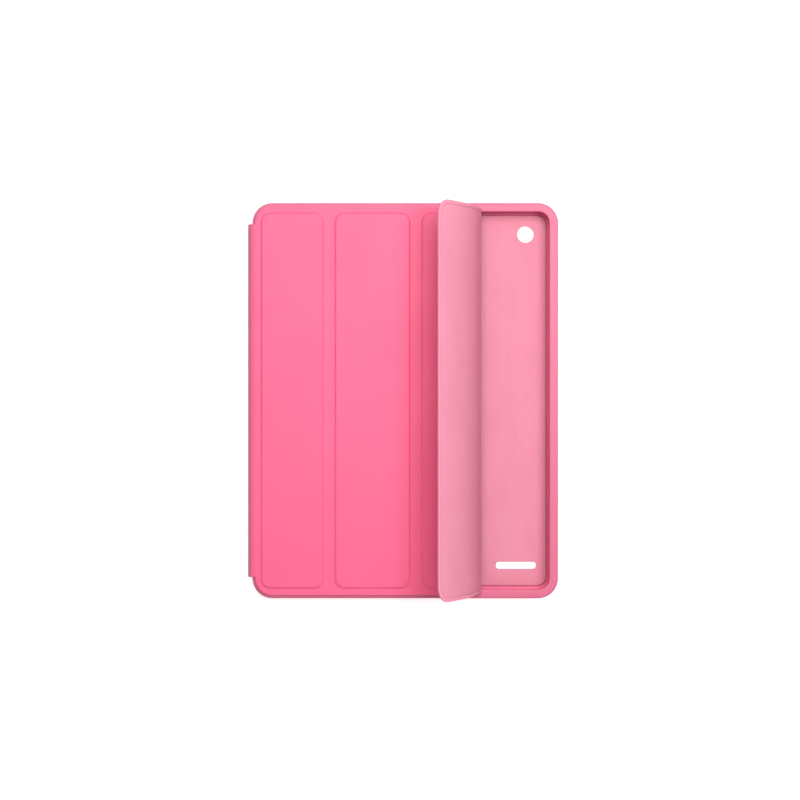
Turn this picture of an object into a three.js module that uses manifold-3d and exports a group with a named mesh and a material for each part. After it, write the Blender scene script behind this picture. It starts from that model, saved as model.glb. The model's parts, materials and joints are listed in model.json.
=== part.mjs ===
// A folio case for a 9.7 inch tablet: a rigid tray wrapped in thin leather, joined by a spine to a
// cover of four stiffened panels. Millimetres. The case lies on its back: +Z points out of the cover,
// +Y to the case's top edge and +X from the spine to the free edge. The last panel is folded back.
import * as THREE from 'three';
import Module from 'manifold-3d';
import { mergeVertices } from 'three/addons/utils/BufferGeometryUtils.js';

const wasm = await Module();
wasm.setup();

// Shell: the tray that holds the tablet
const SHELL_W = 191;
const SHELL_H = 247;
const SHELL_T = 13.4;
const SHELL_R = 12.5;
const SKIN_T = 0.8;          // leather on the shell's outside
const LAYER_GAP = 0.1;       // glue line between two layers
const WALL_IN = 2.4;         // from the outside to the cavity's wall
const FLOOR_TOP = 2.1;       // top of the rigid floor
const LINING_T = 0.4;
const LIP_UNDER = 12.1;      // the lip's underside, just above the tablet's glass
const LIP_IN = 5.6;          // from the outside to the lip's inner edge
const EDGE_IN = 6;           // how far the rounded lower edge reaches in
const EDGE_UP = 5;           // and up

// Openings in the shell
const SIDE_Z = 7.4;          // height of the openings in the side walls
const CAMERA = { x: 76, y: 105, r: 5.5 };
const SPEAKER = { x: 70, y: -104, w: 26, h: 5 };
const DOCK = { w: 28, h: 6.2 };
const JACK = { x: -76, r: 4 };
const MIC = { x: 0, r: 1 };
const SWITCH = { y: 103, w: 10, h: 4.8 };
const KEYS = [
  { name: 'power_key', side: 'top', at: 72, w: 13 },
  { name: 'volume_up_key', side: 'right', at: 88, w: 11 },
  { name: 'volume_down_key', side: 'right', at: 75, w: 11 },
];
const KEY_H = 4;
const KEY_PROUD = 0.5;
const KEY_T = 2.3;
const KEY_GAP = 0.35;

// Cover
const COVER_Z = 13.7;        // the lining's underside when the cover is closed
const COVER_INSET = 2.1;     // from the shell's outline to the cover's
const COVER_R = 10.5;
const BORDER_Z = 1.4;        // top of the leather round the boards, above the lining's underside
const RAISED_Z = 2.2;        // top of the leather over a board
const SHEET_Z = 0.5;         // underside of the leather
const BOARD_T = 1.0;
const RAISED_Y = 117;        // half height of the raised area over a board
const RAISED_R = 6;
const BOARD_INSET = 0.8;     // the board's edge inside the raised area's
const FOLDS = [-47.4, 6.6, 47];
const FOLD_HALF = 2.5;       // half width of the soft strip at a fold
const RAISED_OFF = 3.5;      // from a fold to the raised area
const RAISED_EDGE = 3.5;     // from the cover's edge to the raised area
const FOLD_Z = COVER_Z + RAISED_Z / 2;
const FLAP_TURN = THREE.MathUtils.degToRad(127);

// Spine and its two hinge strips
const SPINE_OUT = -98.2;
const SPINE_IN = -96;
const SPINE_Y = 110;
const SPINE_LOW = 3.5;
const SPINE_TOP = 12.6;
const STRIP_T = 0.8;
const REAR_STRIP_Z = 1.5;

// Magnets set in the boards
const MAGNET = { w: 4, h: 14, t: 0.9 };
const LATCH_X = 84.5;
const LATCH_Y = [-98, -60, -22, 22, 60, 98];
const STAND_X = -56;
const STAND_Y = [-70, 0, 70];
const WAKE = { x: 70, y: 80, r: 3 };
const MAGNET_GAP = 0.2;

const leather = { color: 0xef6f9c, roughness: 0.5, metalness: 0 };
const microfibre = { color: 0xf29ab4, roughness: 0.95, metalness: 0 };
const plastic = { color: 0xd8628c, roughness: 0.6, metalness: 0 };
const board = { color: 0xb9a58c, roughness: 0.9, metalness: 0 };
const magnet = { color: 0xb8bcc2, roughness: 0.3, metalness: 1 };

const folio = new THREE.Group();

// One named mesh, with a material of its own
function addMesh(name, geometry, finish, parent = folio) {
  const mesh = new THREE.Mesh(geometry, new THREE.MeshStandardMaterial(finish));
  mesh.name = name;
  parent.add(mesh);
  return mesh;
}

// Rectangle from (x0, y0) to (x1, y1), with one radius at its left corners and one at its right
function panelShape(x0, y0, x1, y1, leftR, rightR) {
  const shape = new THREE.Shape();
  shape.moveTo(x0 + leftR, y0);
  shape.lineTo(x1 - rightR, y0);
  if (rightR) shape.absarc(x1 - rightR, y0 + rightR, rightR, -Math.PI / 2, 0);
  shape.lineTo(x1, y1 - rightR);
  if (rightR) shape.absarc(x1 - rightR, y1 - rightR, rightR, 0, Math.PI / 2);
  shape.lineTo(x0 + leftR, y1);
  if (leftR) shape.absarc(x0 + leftR, y1 - leftR, leftR, Math.PI / 2, Math.PI);
  shape.lineTo(x0, y0 + leftR);
  if (leftR) shape.absarc(x0 + leftR, y0 + leftR, leftR, Math.PI, 1.5 * Math.PI);
  return shape;
}

function roundedRect(w, h, r) {
  return panelShape(-w / 2, -h / 2, w / 2, h / 2, r, r);
}

function circle(r) {
  return new THREE.Shape().absarc(0, 0, r, 0, 2 * Math.PI);
}

// Straight extrusion of a flat shape from z0 to z1
function slab(shape, z0, z1) {
  const options = { depth: z1 - z0, bevelEnabled: false, curveSegments: 5 };
  return new THREE.ExtrudeGeometry(shape, options).translate(0, 0, z0);
}

function toManifold(geometry) {
  const bare = geometry.clone();
  bare.deleteAttribute('normal');
  bare.deleteAttribute('uv');
  const merged = mergeVertices(bare, 1e-4);
  return new wasm.Manifold(new wasm.Mesh({
    numProp: 3,
    vertProperties: new Float32Array(merged.attributes.position.array),
    triVerts: new Uint32Array(merged.index.array),
  }));
}

// The solids in add joined, less those in cut
function combine(add, cut) {
  let solid = toManifold(add[0]);
  for (const geometry of add.slice(1)) solid = solid.add(toManifold(geometry));
  for (const geometry of cut) solid = solid.subtract(toManifold(geometry));
  const mesh = solid.getMesh();
  const result = new THREE.BufferGeometry();
  result.setAttribute('position', new THREE.BufferAttribute(new Float32Array(mesh.vertProperties), 3));
  result.setIndex(new THREE.BufferAttribute(new Uint32Array(mesh.triVerts), 1));
  return result;
}

// Carries a profile of [inset, z] points round the shell's rounded rectangle. A ring's profile is a
// loop; any other has its first and last turn closed with a flat face.
function sweepRound(profile, isRing = false) {
  const perCorner = 7;
  const rings = profile.map(([inset, z]) => {
    const r = SHELL_R - inset;
    const points = [];
    for (let corner = 0; corner < 4; corner += 1) {
      const sx = corner === 0 || corner === 3 ? 1 : -1;
      const sy = corner < 2 ? 1 : -1;
      for (let i = 0; i < perCorner; i += 1) {
        const angle = (corner + i / (perCorner - 1)) * Math.PI / 2;
        const x = sx * (SHELL_W / 2 - SHELL_R) + r * Math.cos(angle);
        const y = sy * (SHELL_H / 2 - SHELL_R) + r * Math.sin(angle);
        points.push([x, y, z]);
      }
    }
    return points;
  });
  const count = 4 * perCorner;
  const positions = rings.flat(2);
  const last = rings.length - 1;
  const lowCentre = rings.length * count;
  const index = [];
  if (!isRing) positions.push(0, 0, profile[0][1], 0, 0, profile[last][1]);
  for (let i = 0; i < count; i += 1) {
    const next = (i + 1) % count;
    if (!isRing) {
      index.push(lowCentre, next, i);
      index.push(lowCentre + 1, last * count + i, last * count + next);
    }
    for (let j = 0; j < (isRing ? rings.length : last); j += 1) {
      const below = j * count;
      const above = ((j + 1) % rings.length) * count;
      index.push(below + i, below + next, above + next, below + i, above + next, above + i);
    }
  }
  const geometry = new THREE.BufferGeometry();
  geometry.setAttribute('position', new THREE.Float32BufferAttribute(positions, 3));
  geometry.setIndex(index);
  return geometry;
}

// Quarter ellipse from the floor (low) to the wall: the section's rounded lower edge
function lowerEdge(inset, z, across, up, steps = 5) {
  const points = [];
  for (let i = 0; i <= steps; i += 1) {
    const angle = (i / steps) * Math.PI / 2;
    points.push([inset + across * (1 - Math.sin(angle)), z + up * (1 - Math.cos(angle))]);
  }
  return points;
}

// A cutter that runs through a side wall: top and bottom walls along Y, the right wall along X
function sideCutter(shape, side, at, z = SIDE_Z) {
  const depth = 2 * LIP_IN;
  const geometry = slab(shape, -depth / 2, depth / 2).rotateX(Math.PI / 2);
  if (side === 'right') return geometry.rotateZ(Math.PI / 2).translate(SHELL_W / 2, at, z);
  return geometry.translate(at, side === 'top' ? SHELL_H / 2 : -SHELL_H / 2, z);
}

// Cutters for every opening in the shell, for its leather and its tray alike
function shellCutters() {
  const cutters = [
    slab(circle(CAMERA.r), -1, 4).translate(CAMERA.x, CAMERA.y, 0),
    slab(roundedRect(SPEAKER.w, SPEAKER.h, 2), -1, 4).translate(SPEAKER.x, SPEAKER.y, 0),
    sideCutter(roundedRect(DOCK.w, DOCK.h, 2), 'bottom', 0),
    sideCutter(circle(JACK.r), 'top', JACK.x),
    sideCutter(circle(MIC.r), 'top', MIC.x),
    sideCutter(roundedRect(SWITCH.w, SWITCH.h, 2), 'right', SWITCH.y),
  ];
  for (const key of KEYS) {
    const window = roundedRect(key.w + 2 * KEY_GAP, KEY_H + 2 * KEY_GAP, 2 + KEY_GAP);
    cutters.push(sideCutter(window, key.side, key.at));
  }
  return cutters;
}

// Leather wrap: up the sides, over the lip and round its inner edge
const skinProfile = [
  ...lowerEdge(0, 0, EDGE_IN, EDGE_UP),
  [0, SHELL_T - 1.1],
  [0.33, SHELL_T - 0.3],
  [1.1, SHELL_T],
  [LIP_IN - 0.7, SHELL_T],
  [LIP_IN, SHELL_T - 0.5],
  [LIP_IN, LIP_UNDER],
  [LIP_IN - 0.6, LIP_UNDER],
  [LIP_IN - 0.6, SHELL_T - 0.65],
  [SKIN_T + 0.2, SHELL_T - 0.65],
  [SKIN_T, SHELL_T - 0.9],
  ...lowerEdge(SKIN_T, SKIN_T, EDGE_IN - SKIN_T + 0.2, EDGE_UP - SKIN_T + 0.2).reverse(),
];
addMesh('shell_skin', combine([sweepRound(skinProfile)], shellCutters()), leather);

// Rigid shell inside the leather: a back plate, a wall frame round it and a lip frame on the wall
const coreOut = SKIN_T + LAYER_GAP;
const plateInset = EDGE_IN + 0.5;
const plateShape = roundedRect(
  SHELL_W - 2 * plateInset, SHELL_H - 2 * plateInset, SHELL_R - plateInset,
);
addMesh('back_plate', combine([slab(plateShape, coreOut, FLOOR_TOP)], shellCutters()), plastic);

const wallTop = LIP_UNDER - LAYER_GAP;
const wallProfile = [
  ...lowerEdge(coreOut, coreOut, EDGE_IN - coreOut + 0.3, EDGE_UP - coreOut + 0.3),
  [coreOut, wallTop],
  [WALL_IN, wallTop],
  ...lowerEdge(WALL_IN, FLOOR_TOP, 3.9, 3.9).reverse(),
];
addMesh('wall_frame', combine([sweepRound(wallProfile, true)], shellCutters()), plastic);

const lipIn = LIP_IN - 0.7;
const lipTop = SHELL_T - 0.75;
addMesh('lip_frame', sweepRound([
  [coreOut, LIP_UNDER],
  [coreOut, lipTop - 0.25],
  [coreOut + 0.2, lipTop],
  [lipIn, lipTop],
  [lipIn, LIP_UNDER],
], true), plastic);

// Microfibre sheet that the tablet's back lies on
const liningInset = WALL_IN + 4.4;
addMesh('shell_lining', combine(
  [slab(roundedRect(SHELL_W - 2 * liningInset, SHELL_H - 2 * liningInset, 5.5),
    FLOOR_TOP + 0.05, FLOOR_TOP + 0.05 + LINING_T)],
  shellCutters(),
), microfibre);

// Press-through keys over the tablet's power and volume buttons
for (const key of KEYS) {
  const geometry = slab(roundedRect(key.w, KEY_H, 1.9), -KEY_T, 0).rotateX(Math.PI / 2);
  geometry.rotateZ(Math.PI);
  if (key.side === 'right') {
    geometry.rotateZ(-Math.PI / 2).translate(SHELL_W / 2 + KEY_PROUD, key.at, SIDE_Z);
  } else {
    geometry.translate(key.at, SHELL_H / 2 + KEY_PROUD, SIDE_Z);
  }
  addMesh(key.name, geometry, plastic);
}

// Spine: three layers that stand along the shell's left wall
const spineLength = 2 * SPINE_Y;
function spineLayer(name, x0, x1, z0, z1, length, finish) {
  const geometry = slab(roundedRect(z1 - z0, length, 1), x0, x1);
  geometry.rotateY(Math.PI / 2).translate(0, 0, (z0 + z1) / 2);
  addMesh(name, geometry, finish);
}
spineLayer('spine_skin', SPINE_OUT, SPINE_OUT + STRIP_T, SPINE_LOW, SPINE_TOP, spineLength, leather);
spineLayer('spine_board', SPINE_OUT + 0.9, SPINE_OUT + 1.7, SPINE_LOW + 0.8, SPINE_TOP - 0.8,
  spineLength - 6, board);
spineLayer('spine_lining', SPINE_OUT + 1.8, SPINE_IN, SPINE_LOW, SPINE_TOP, spineLength, microfibre);

// Hinge strips: leather that turns the corner from shell to spine, and from spine to cover
function hingeStrip(name, points) {
  const shape = new THREE.Shape(points.map(([x, z]) => new THREE.Vector2(x, z)));
  const geometry = slab(shape, -SPINE_Y, SPINE_Y).rotateX(Math.PI / 2);
  addMesh(name, geometry, leather);
}
const spineFace = SPINE_OUT + STRIP_T;
hingeStrip('rear_hinge_strip', [
  [SPINE_OUT, REAR_STRIP_Z + 1.2],
  [SPINE_OUT + 0.9, REAR_STRIP_Z],
  [-94.6, REAR_STRIP_Z],
  [-94.6, REAR_STRIP_Z + STRIP_T],
  [spineFace + 0.4, REAR_STRIP_Z + STRIP_T],
  [spineFace, REAR_STRIP_Z + STRIP_T + 0.4],
  [spineFace, SPINE_LOW - LAYER_GAP],
  [SPINE_OUT, SPINE_LOW - LAYER_GAP],
]);
const coverLeft = -SHELL_W / 2 + COVER_INSET;
const stripTop = COVER_Z + BORDER_Z;
hingeStrip('front_hinge_strip', [
  [SPINE_OUT, SPINE_TOP + LAYER_GAP],
  [spineFace, SPINE_TOP + LAYER_GAP],
  [spineFace, stripTop - STRIP_T - 0.4],
  [spineFace + 0.4, stripTop - STRIP_T],
  [coverLeft - LAYER_GAP, stripTop - STRIP_T],
  [coverLeft - LAYER_GAP, stripTop],
  [SPINE_OUT + 0.9, stripTop],
  [SPINE_OUT, stripTop - 1.2],
]);

// The flap's pieces lie in a group turned about the last fold, and are drawn as if it were flat
const flapFold = FOLDS[2];
const flap = new THREE.Group();
flap.position.set(flapFold, 0, FOLD_Z);
flap.rotation.y = -FLAP_TURN;
const flapFlat = new THREE.Group();
flapFlat.position.set(-flapFold, 0, -FOLD_Z);
flap.add(flapFlat);
folio.add(flap);

function magnetBlock(x, y) {
  return slab(roundedRect(MAGNET.w, MAGNET.h, 0.5), 0, MAGNET.t)
    .translate(x, y, COVER_Z + SHEET_Z + 0.05);
}

function magnetHole(x, y) {
  const w = MAGNET.w + 2 * MAGNET_GAP;
  const h = MAGNET.h + 2 * MAGNET_GAP;
  return slab(roundedRect(w, h, 0.5), -1, 3).translate(x, y, COVER_Z + SHEET_Z);
}

// Panels 1 to 4: lining, board and leather with a raised area over the board
const coverY = SHELL_H / 2 - COVER_INSET;
const coverRight = -coverLeft;
const edges = [coverLeft, ...FOLDS, coverRight];
for (let i = 0; i < 4; i += 1) {
  const isFirst = i === 0;
  const isLast = i === 3;
  const x0 = isFirst ? edges[i] : edges[i] + FOLD_HALF;
  const x1 = isLast ? edges[i + 1] : edges[i + 1] - FOLD_HALF;
  const raised0 = edges[i] + (isFirst ? RAISED_EDGE : RAISED_OFF);
  const raised1 = edges[i + 1] - (isLast ? RAISED_EDGE : RAISED_OFF);
  const leftR = isFirst ? COVER_R : 0;
  const rightR = isLast ? COVER_R : 0;
  const outline = panelShape(x0, -coverY, x1, coverY, leftR, rightR);
  const raised = panelShape(raised0, -RAISED_Y, raised1, RAISED_Y, RAISED_R, RAISED_R);
  const inset = BOARD_INSET;
  const boardShape = panelShape(
    raised0 + inset, -RAISED_Y + inset, raised1 - inset, RAISED_Y - inset,
    RAISED_R - inset, RAISED_R - inset,
  );
  const gap = LAYER_GAP;
  const pocket = panelShape(
    raised0 + inset - gap, -RAISED_Y + inset - gap, raised1 - inset + gap, RAISED_Y - inset + gap,
    RAISED_R - inset + gap, RAISED_R - inset + gap,
  );
  const parent = isLast ? flapFlat : folio;
  const name = `panel_${i + 1}`;
  const sheet = COVER_Z + SHEET_Z;
  addMesh(`${name}_lining`, slab(outline, COVER_Z, COVER_Z + LINING_T), microfibre, parent);
  addMesh(`${name}_skin`, combine(
    [slab(outline, sheet, COVER_Z + BORDER_Z), slab(raised, sheet, COVER_Z + RAISED_Z)],
    [slab(pocket, sheet - 1, sheet + BOARD_T + gap)],
  ), leather, parent);
  const holes = [];
  if (isFirst) STAND_Y.forEach((y) => holes.push(magnetHole(STAND_X, y)));
  if (isLast) {
    LATCH_Y.forEach((y) => holes.push(magnetHole(LATCH_X, y)));
    holes.push(slab(circle(WAKE.r + MAGNET_GAP), -1, 3).translate(WAKE.x, WAKE.y, sheet));
  }
  addMesh(`${name}_board`, combine([slab(boardShape, sheet, sheet + BOARD_T)], holes), board, parent);
}

// Fold strips between the panels: leather outside, microfibre inside
FOLDS.forEach((x, i) => {
  const half = FOLD_HALF - LAYER_GAP;
  const strip = panelShape(x - half, -coverY, x + half, coverY, 0, 0);
  const name = `fold_${i + 1}`;
  addMesh(`${name}_skin`, slab(strip, COVER_Z + SHEET_Z, COVER_Z + BORDER_Z), leather);
  addMesh(`${name}_lining`, slab(strip, COVER_Z, COVER_Z + LINING_T), microfibre);
});

// Magnets: three in panel 1 that hold the stand, six in the flap that latch it, one that wakes the tablet
STAND_Y.forEach((y, i) => addMesh(`stand_magnet_${i + 1}`, magnetBlock(STAND_X, y), magnet));
LATCH_Y.forEach((y, i) => addMesh(`latch_magnet_${i + 1}`, magnetBlock(LATCH_X, y), magnet, flapFlat));
addMesh('wake_magnet', slab(circle(WAKE.r), 0, MAGNET.t)
  .translate(WAKE.x, WAKE.y, COVER_Z + SHEET_Z + 0.05), magnet, flapFlat);

export default folio;
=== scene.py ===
import json
import math

import bmesh
import bpy
import numpy as np
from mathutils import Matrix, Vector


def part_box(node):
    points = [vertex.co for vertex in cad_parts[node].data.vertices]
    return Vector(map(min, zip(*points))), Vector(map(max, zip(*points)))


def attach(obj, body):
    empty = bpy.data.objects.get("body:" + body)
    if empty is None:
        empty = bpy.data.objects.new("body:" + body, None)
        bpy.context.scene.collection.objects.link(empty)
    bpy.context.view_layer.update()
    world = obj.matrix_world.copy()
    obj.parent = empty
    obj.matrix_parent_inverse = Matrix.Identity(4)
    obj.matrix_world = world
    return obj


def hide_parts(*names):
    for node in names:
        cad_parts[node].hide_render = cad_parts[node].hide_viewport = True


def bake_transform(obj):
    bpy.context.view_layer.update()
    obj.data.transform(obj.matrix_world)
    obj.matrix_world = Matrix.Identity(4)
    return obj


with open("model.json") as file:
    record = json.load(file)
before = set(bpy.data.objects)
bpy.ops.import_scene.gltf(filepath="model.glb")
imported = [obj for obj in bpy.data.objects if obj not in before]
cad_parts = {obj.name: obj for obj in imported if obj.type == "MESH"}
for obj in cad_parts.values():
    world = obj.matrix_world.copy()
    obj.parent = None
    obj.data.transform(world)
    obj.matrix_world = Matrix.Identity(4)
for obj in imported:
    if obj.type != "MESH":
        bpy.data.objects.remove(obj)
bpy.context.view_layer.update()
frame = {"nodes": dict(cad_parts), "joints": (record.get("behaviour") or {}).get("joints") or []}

# ---------------------------------------------------------------- camera, floor and light
# The case lies on its back and is looked at from straight above, with the spine on the left. One
# soft light from the upper right, a wide one overhead and a pale room light it. The white floor
# meets a white curtain all round, which is only looked at and lights nothing.
MM = 0.001
scene = bpy.context.scene
cover_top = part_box("panel_2_skin")[1].z
CAMERA_ABOVE = 0.885         # the camera's height above the cover
VIEW_AT = 0.888              # the distance at which the view is VIEW_WIDTH wide
VIEW_WIDTH = 0.4994
VIEW_MIDDLE = (-3.3 * MM, 0.4 * MM)
SENSOR = 36.0                # the camera's sensor width, in its own millimetres

camera = bpy.data.objects.new("camera", bpy.data.cameras.new("camera"))
camera.location = (*VIEW_MIDDLE, cover_top + CAMERA_ABOVE)
camera.data.sensor_width = SENSOR
camera.data.lens = SENSOR * VIEW_AT / VIEW_WIDTH
scene.collection.objects.link(camera)
scene.camera = camera
scene.view_settings.view_transform = "Standard"


def stage_piece(name, points, quads, grey, glow):
    """A piece of the stage from points and quads, matt grey, with a white glow of its own."""
    mesh = bpy.data.meshes.new(name)
    mesh.from_pydata(points, [], quads)
    material = bpy.data.materials.new(f"pale_{name}")
    material.use_nodes = True
    shader = material.node_tree.nodes["Principled BSDF"]
    shader.inputs["Base Color"].default_value = (grey, grey, grey, 1)
    shader.inputs["Roughness"].default_value = 0.9
    shader.inputs["Emission Color"].default_value = (1, 1, 1, 1)
    shader.inputs["Emission Strength"].default_value = glow
    mesh.materials.append(material)
    piece = bpy.data.objects.new(name, mesh)
    bpy.context.scene.collection.objects.link(piece)
    return piece


FLOOR_HALF = 6.0
FLOOR_Z = -0.2 * MM
CURTAIN_SIDES = 64
CURTAIN_ROWS = [(1.0, -0.1), (0.98, 4.0), (0.5, 6.0)]        # share of FLOOR_HALF, and height
floor_corners = [(-FLOOR_HALF, -FLOOR_HALF, FLOOR_Z), (FLOOR_HALF, -FLOOR_HALF, FLOOR_Z)]
floor_corners += [(FLOOR_HALF, FLOOR_HALF, FLOOR_Z), (-FLOOR_HALF, FLOOR_HALF, FLOOR_Z)]
stage_piece("floor", floor_corners, [(0, 1, 2, 3)], grey=0.75, glow=0.60)
around = np.linspace(0, 2 * math.pi, CURTAIN_SIDES, endpoint=False)
ring = np.column_stack([np.cos(around), np.sin(around), np.zeros(CURTAIN_SIDES)]) * FLOOR_HALF
curtain = np.concatenate([ring * share + (0, 0, height) for share, height in CURTAIN_ROWS])
lower, side = np.meshgrid(np.arange(2) * CURTAIN_SIDES, np.arange(CURTAIN_SIDES), indexing="ij")
upper, beside = lower + CURTAIN_SIDES, (side + 1) % CURTAIN_SIDES
curtain_quads = np.stack([lower + side, lower + beside, upper + beside, upper + side], axis=-1)
curtain_quads = curtain_quads.reshape(-1, 4).tolist()
backdrop = stage_piece("backdrop", curtain.tolist(), curtain_quads, grey=0.0, glow=0.94)
backdrop.visible_diffuse = False
backdrop.visible_glossy = False
backdrop.visible_shadow = False


def soft_light(name, place, size, power):
    """A square area light at place that faces the middle of the case."""
    light = bpy.data.objects.new(name, bpy.data.lights.new(name, "AREA"))
    light.data.size = size
    light.data.energy = power
    light.location = place
    light.rotation_euler = light.location.to_track_quat("Z", "Y").to_euler()
    bpy.context.scene.collection.objects.link(light)


soft_light("key_light", (0.45, 0.12, 0.85), size=0.35, power=4.4)
soft_light("overhead_light", (0.02, 0.28, 0.75), size=0.5, power=5.0)
ROOM_GLOW = 0.46
world = bpy.data.worlds.new("room")
world.use_nodes = True
world.node_tree.nodes["Background"].inputs["Color"].default_value = (1, 1, 1, 1)
world.node_tree.nodes["Background"].inputs["Strength"].default_value = ROOM_GLOW
scene.world = world


# ---------------------------------------------------------------- leather wrap of the shell
# The shell is a stiff plastic tray wrapped in thin smooth leather, which runs up the rounded
# sides, over the lip and round its inner edge. Openings are punched through with rolled rims.
class Value:
    """A node's output; + - and * on it add Math nodes."""

    def __init__(self, finish, socket):
        self.finish = finish
        self.socket = socket

    def _math(self, operation, first, second):
        return self.finish.node("ShaderNodeMath", {"operation": operation}, {0: first, 1: second})

    def __add__(self, other):
        return self._math("ADD", self, other)

    def __sub__(self, other):
        return self._math("SUBTRACT", self, other)

    def __rsub__(self, other):
        return self._math("SUBTRACT", other, self)

    def __mul__(self, other):
        return self._math("MULTIPLY", self, other)

    __radd__ = __add__
    __rmul__ = __mul__


class Finish:
    """A procedural material: one Principled shader and the nodes that feed it."""

    def __init__(self, name, **constants):
        self.material = bpy.data.materials.new(name)
        self.material.use_nodes = True
        self.tree = self.material.node_tree
        self.shader = self.tree.nodes["Principled BSDF"]
        for socket, value in constants.items():
            self.shader.inputs[socket.replace("_", " ")].default_value = value
        self.where = self.node("ShaderNodeTexCoord", output="Object")

    def node(self, kind, settings=None, inputs=None, output=0):
        """Adds a node of this type, sets its settings, then its sockets, and gives one output."""
        made = self.tree.nodes.new(kind)
        for setting, value in (settings or {}).items():
            setattr(made, setting, value)
        for socket, value in (inputs or {}).items():
            if isinstance(value, Value):
                self.tree.links.new(value.socket, made.inputs[socket])
            else:
                made.inputs[socket].default_value = value
        return Value(self, made.outputs[output])

    def noise(self, size, detail=2.0, stretch=None):
        """Soft noise from 0 to 1 whose lumps are about size metres across."""
        where = self.where
        if stretch:
            where = self.node("ShaderNodeMapping", inputs={"Vector": where, "Scale": stretch})
        inputs = {"Vector": where, "Scale": 1 / size, "Detail": detail}
        return self.node("ShaderNodeTexNoise", inputs=inputs)

    def cells(self, size, feature="F1"):
        """Distance to the nearest of scattered points about size metres apart."""
        return self.node(
            "ShaderNodeTexVoronoi", {"feature": feature}, {"Vector": self.where, "Scale": 1 / size}
        )

    def level(self, value, low, high):
        """0 below low and 1 above high, smooth between."""
        inputs = {"Value": value, "From Min": low, "From Max": high}
        return self.node("ShaderNodeMapRange", {"interpolation_type": "SMOOTHSTEP"}, inputs)

    def mix(self, factor, first, second):
        """A colour from first to second by factor."""
        inputs = {0: factor, 6: first, 7: second}
        return self.node("ShaderNodeMix", {"data_type": "RGBA"}, inputs, output=2)

    def attribute(self, name):
        """A value stored at the piece's points under this name."""
        return self.node("ShaderNodeAttribute", {"attribute_name": name}, output="Fac")

    def feed(self, socket, value):
        """Links a value to one of the shader's sockets."""
        self.tree.links.new(value.socket, self.shader.inputs[socket])

    def bump(self, height, distance, strength=1.0):
        """Relief of height times distance metres."""
        inputs = {"Height": height, "Distance": distance, "Strength": strength}
        self.feed("Normal", self.node("ShaderNodeBump", inputs=inputs))


LEATHER_PINK = (0.75, 0.0935, 0.210, 1)
LEATHER_DEEP = (0.68, 0.082, 0.190, 1)
# a duller, greyer pink: worn leather, and also painted shade where edges and the spine's side turn from the
# light
LEATHER_WORN_AND_SHADE = (0.38, 0.124, 0.186, 1)


def leather_finish(name, grain):
    """Semi-matt leather: fine pebbles between creases, faint clouds of colour and small flecks. Where its
    edge value is high it is duller, greyer and a little glossier: wear where it is stretched over an edge,
    and painted shade on rolled edges and on the spine's upper corner."""
    leather = Finish(name, Specular_IOR_Level=0.42, Coat_Weight=0.05, Coat_Roughness=0.35)
    pebbles = leather.cells(grain, "SMOOTH_F1")
    creases = leather.cells(grain * 2.3, "DISTANCE_TO_EDGE")
    pores = leather.noise(grain / 2.5, 3.0)
    clouds = leather.noise(35 * MM, 3.0)
    flecks = leather.level(leather.noise(1.6 * MM, 4.0), 0.55, 0.8)
    wear_and_shade = leather.attribute("edge")
    colour = leather.mix(leather.level(clouds, 0.3, 0.75) * 0.35, LEATHER_PINK, LEATHER_DEEP)
    colour = leather.mix(flecks * 0.08 + leather.level(pebbles, 0.45, 0.9) * 0.10, colour, LEATHER_DEEP)
    # mixes in the worn colour, which on rolled edges and on the spine's corner is painted shade
    colour = leather.mix(wear_and_shade * 0.85, colour, LEATHER_WORN_AND_SHADE)
    leather.feed("Base Color", colour)
    leather.feed("Roughness", 0.44 + clouds * 0.10 + pores * 0.08 - wear_and_shade * 0.08)
    relief = (1 - pebbles) * 0.6 + leather.level(creases, 0.0, 0.12) * 0.3 + pores * 0.25
    leather.bump(relief, 0.07 * MM, 0.6)
    return leather.material


leather = leather_finish("pink_leather", 0.55 * MM)


def build(name, points, faces, material, crease=40):
    """A piece from an array of points and a list of face arrays, smooth but for edges sharper than
    crease degrees."""
    mesh = bpy.data.meshes.new(name)
    mesh.from_pydata(points.tolist(), [], [face for part in faces for face in part.tolist()])
    mesh.materials.append(material)
    mesh.shade_smooth()
    mesh.set_sharp_from_angle(angle=math.radians(crease))
    piece = bpy.data.objects.new(name, mesh)
    bpy.context.scene.collection.objects.link(piece)
    return piece


def ring_faces(rings, count, closed=False):
    """Quads between rings of count points each, running round each ring and from one to the next."""
    j, i = np.meshgrid(np.arange(rings if closed else rings - 1), np.arange(count), indexing="ij")
    above = (j + 1) % rings
    beside = (i + 1) % count
    quads = (j * count + i, j * count + beside, above * count + beside, above * count + i)
    return np.stack(quads, axis=-1).reshape(-1, 4)


def capped_faces(loops):
    """Quads along a stack of equal loops, and one flat face on its first loop and on its last."""
    count = len(loops[0])
    first = np.arange(count)[::-1][None, :]
    last = (len(loops) - 1) * count + np.arange(count)[None, :]
    return [ring_faces(len(loops), count), first, last]


def rounded_outline(half_x, half_y, radius, per_corner=18):
    """Points of a rectangle with round corners, anticlockwise: each corner is a quarter circle."""
    turn = np.linspace(0, math.pi / 2, per_corner)
    angle = (np.arange(4)[:, None] * math.pi / 2 + turn).ravel()
    side_x = np.repeat([1, -1, -1, 1], per_corner)
    side_y = np.repeat([1, 1, -1, -1], per_corner)
    x = side_x * (half_x - radius) + radius * np.cos(angle)
    y = side_y * (half_y - radius) + radius * np.sin(angle)
    return np.stack([x, y], axis=-1)


def sweep_round(name, profile, half_x, half_y, radius, material, ring=False):
    """Carries a profile of (inset, height) rows round a rounded rectangle; its ends close with a flat
    face unless it is a ring."""
    loops = []
    for inset, height in profile:
        outline = rounded_outline(half_x - inset, half_y - inset, radius - inset)
        loops.append(np.column_stack([outline, np.full(len(outline), height)]))
    if ring:
        faces = [ring_faces(len(loops), len(loops[0]), closed=True)]
    else:
        faces = capped_faces(loops)
    return build(name, np.concatenate(loops), faces, material)


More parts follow.
